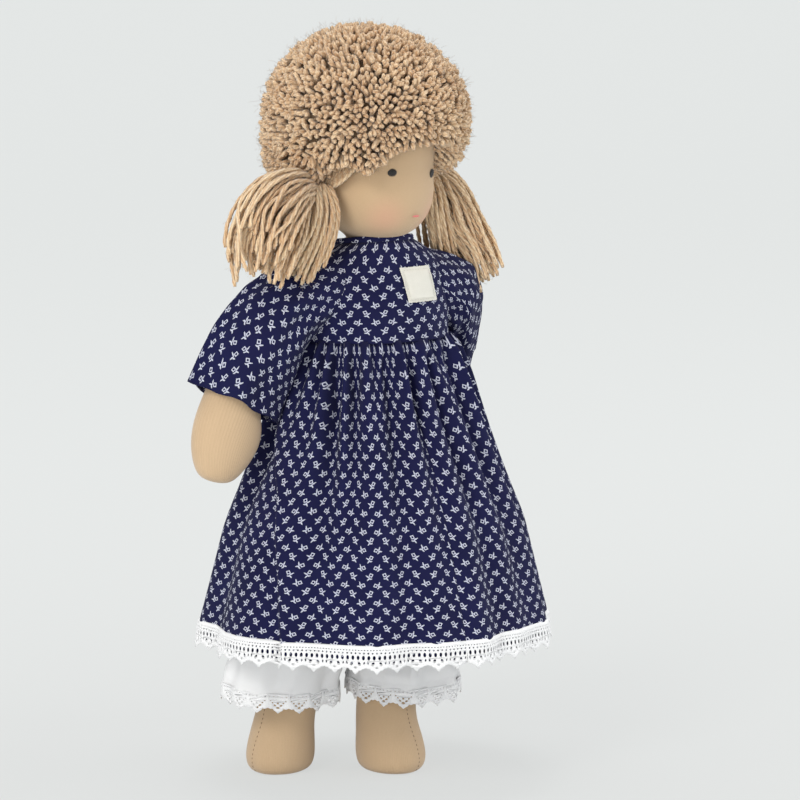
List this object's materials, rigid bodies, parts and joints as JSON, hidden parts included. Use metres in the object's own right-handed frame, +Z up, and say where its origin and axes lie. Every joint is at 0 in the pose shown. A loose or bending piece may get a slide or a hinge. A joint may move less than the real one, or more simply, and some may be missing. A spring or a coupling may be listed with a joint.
{
  "type": "waldorf doll",
  "caption": "Soft stuffed cloth doll with a yarn wig, pigtails, a print dress with lace hem and bloomers; head, arms and legs turn at their seams.",
  "frame": {"origin": "on the floor under the middle of the doll's bounding box; the soles rest at z = 0", "axes": "+Z up along the doll, +X towards the doll's left side, the chest faces -Y"},
  "size_m": [0.2051, 0.1792, 0.401],
  "materials": {
    "skin_jersey": "fine ribbed cotton jersey",
    "wool_stuffing": "carded wool",
    "wig_yarn": "plied wool yarn",
    "print_cotton": "plain weave with a small white sprig print",
    "white_cotton": "plain weave",
    "cotton_lace": "bobbin lace edging",
    "cream_cloth": "plain weave",
    "thread": "strong cotton thread",
    "eye_thread": "embroidery floss",
    "mouth_thread": "embroidery floss",
    "button_shell": "polished"
  },
  "bodies": {
    "torso": {"torso_stuffing": "wool_stuffing", "torso_skin": "skin_jersey", "bodice_front": "print_cotton", "bodice_back_left": "print_cotton", "bodice_back_right": "print_cotton", "placket": "print_cotton", "button_1": "button_shell", "button_2": "button_shell", "button_3": "button_shell", "neckline_binding": "print_cotton", "chest_patch": "cream_cloth", "skirt": "print_cotton", "hem_lace": "cotton_lace", "bloomers_seat": "white_cotton", "waist_elastic": "white_cotton"},
    "neck": {"neck_tie": "thread"},
    "head": {"head_core": "wool_stuffing", "eye_line_thread": "thread", "head_skin": "skin_jersey", "eye_left": "eye_thread", "eye_right": "eye_thread", "mouth": "mouth_thread", "wig_cap": "wig_yarn", "hair_pile": "wig_yarn", "strand_band_left": "wig_yarn", "strand_band_right": "wig_yarn", "pigtail_tie_left": "wig_yarn", "pigtail_tie_right": "wig_yarn"},
    "pigtail_left": {"pigtail_left": "wig_yarn"},
    "pigtail_right": {"pigtail_right": "wig_yarn"},
    "arm_left": {"arm_stuffing_left": "wool_stuffing", "arm_skin_left": "skin_jersey", "sleeve_left": "print_cotton"},
    "arm_right": {"arm_stuffing_right": "wool_stuffing", "arm_skin_right": "skin_jersey", "sleeve_right": "print_cotton"},
    "leg_left": {"leg_stuffing_left": "wool_stuffing", "leg_skin_left": "skin_jersey", "bloomers_leg_left": "white_cotton", "bloomers_lace_left": "cotton_lace"},
    "leg_right": {"leg_stuffing_right": "wool_stuffing", "leg_skin_right": "skin_jersey", "bloomers_leg_right": "white_cotton", "bloomers_lace_right": "cotton_lace"}
  },
  "joints": [
    {"name": "head_nod", "type": "hinge", "parent": "torso", "child": "neck", "pos_m": [0.007, 0.002, 0.281], "axis": [1, 0, 0], "range_deg": [-12, 8]},
    {"name": "head_turn", "type": "hinge", "parent": "neck", "child": "head", "pos_m": [0.007, 0.002, 0.281], "axis": [0.0517, -0.1564, 0.9863], "range_deg": [-60, 30]},
    {"name": "pigtail_left_lift", "type": "hinge", "parent": "head", "child": "pigtail_left", "pos_m": [0.04695, 0.01048, 0.31523], "axis": [-0.2208, -0.9753, 0], "range_deg": [0, 45], "deforming": ["pigtail_left"]},
    {"name": "pigtail_right_lift", "type": "hinge", "parent": "head", "child": "pigtail_right", "pos_m": [-0.03099, -0.01157, 0.31582], "axis": [-0.3736, 0.9276, 0], "range_deg": [0, 45], "deforming": ["pigtail_right"]},
    {"name": "shoulder_left", "type": "hinge", "parent": "torso", "child": "arm_left", "pos_m": [0.0488, 0, 0.264], "axis": [-1, 0, 0], "range_deg": [-8, 120], "deforming": ["sleeve_left"]},
    {"name": "shoulder_right", "type": "hinge", "parent": "torso", "child": "arm_right", "pos_m": [-0.0288, 0, 0.264], "axis": [-1, 0, 0], "range_deg": [-35, 90], "deforming": ["sleeve_right"]},
    {"name": "hip_left", "type": "hinge", "parent": "torso", "child": "leg_left", "pos_m": [0.01, 0, 0.141], "axis": [-1, 0, 0], "range_deg": [-30, 80], "deforming": ["bloomers_leg_left", "bloomers_lace_left", "bloomers_seat", "skirt", "hem_lace"]},
    {"name": "hip_right", "type": "hinge", "parent": "torso", "child": "leg_right", "pos_m": [0.01, 0, 0.141], "axis": [-1, 0, 0], "range_deg": [-30, 80], "deforming": ["bloomers_leg_right", "bloomers_lace_right", "bloomers_seat", "skirt", "hem_lace"]}
  ]
}
